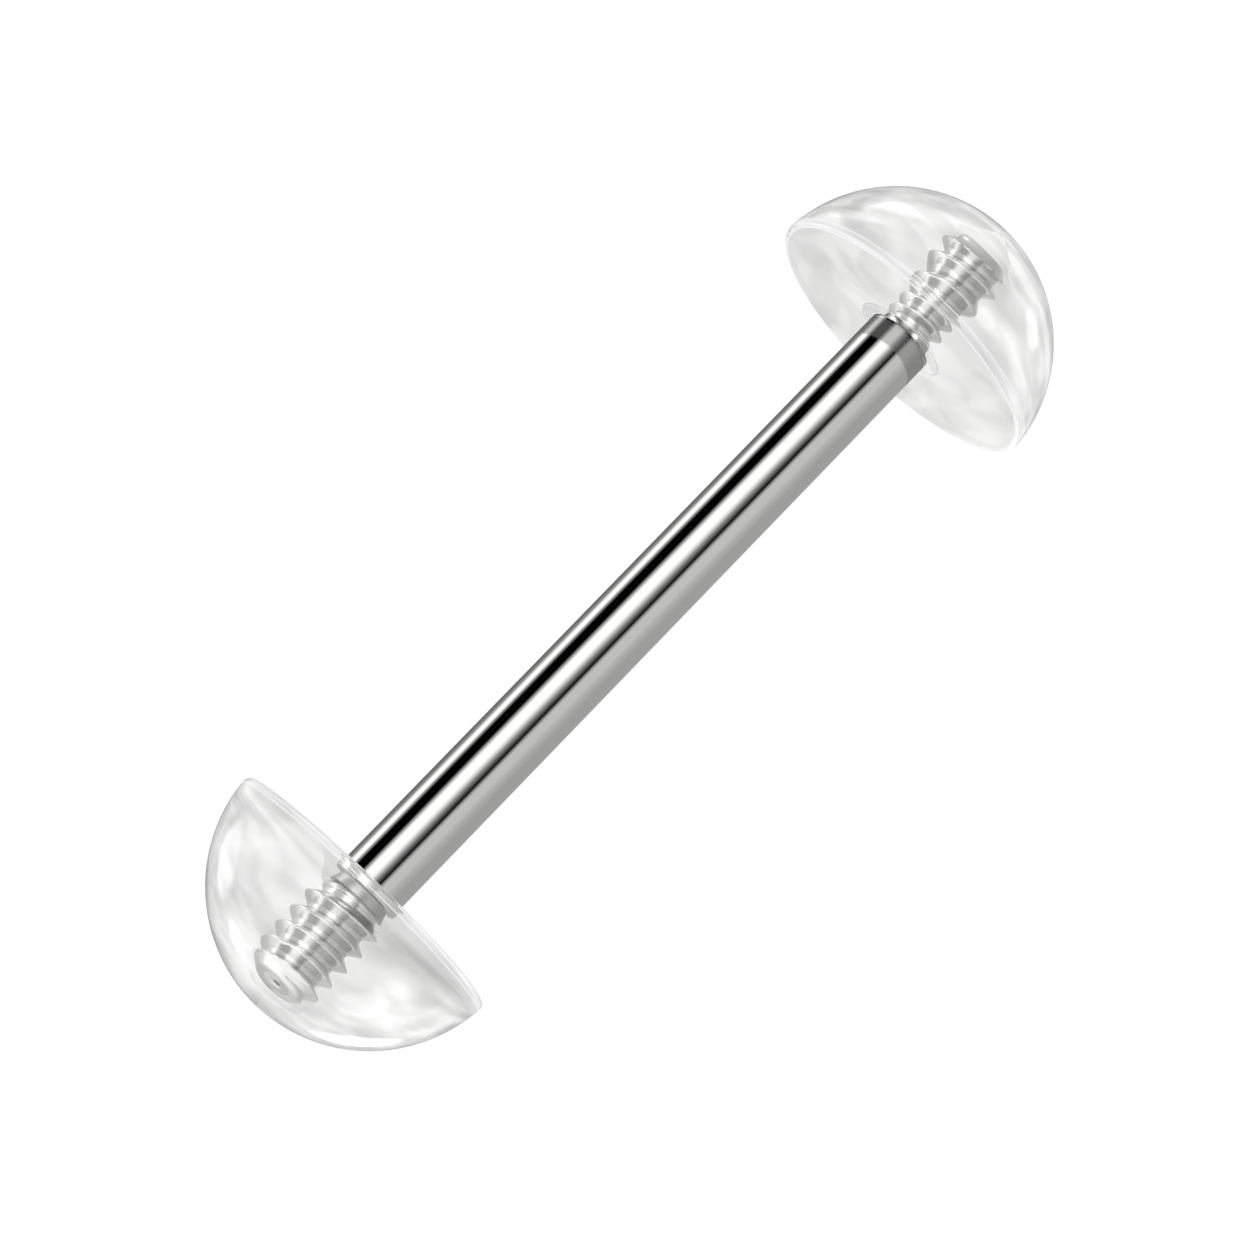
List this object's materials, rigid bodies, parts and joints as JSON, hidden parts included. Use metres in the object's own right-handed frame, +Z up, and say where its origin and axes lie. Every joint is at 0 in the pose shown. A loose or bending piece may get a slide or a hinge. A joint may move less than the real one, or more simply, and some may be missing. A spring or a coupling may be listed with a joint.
{
  "type": "tongue barbell",
  "caption": "Straight tongue barbell: a polished steel bar with a clear half ball screwed on each end, flat faces inwards.",
  "frame": {"origin": "on the surface it lies on, under the middle of the bar: the bottom centre of its box", "axes": "+X along the bar, towards the top half ball; +Z up"},
  "size_m": [0.0236, 0.007, 0.007],
  "materials": {
    "polished_steel": "mirror-polished surgical stainless steel, bright thread",
    "clear_acrylic": "clear colourless acrylic, polished"
  },
  "bodies": {
    "bar": {"bar": "polished_steel"},
    "top_half_ball": {"top_half_ball": "clear_acrylic"},
    "bottom_half_ball": {"bottom_half_ball": "clear_acrylic"}
  },
  "joints": [
    {"name": "top_half_ball_unscrew", "type": "slide", "parent": "bar", "child": "top_half_ball", "axis": [1, 0, 0], "range_m": [0, 0.0045]},
    {"name": "bottom_half_ball_unscrew", "type": "slide", "parent": "bar", "child": "bottom_half_ball", "axis": [-1, 0, 0], "range_m": [0, 0.0045]}
  ]
}
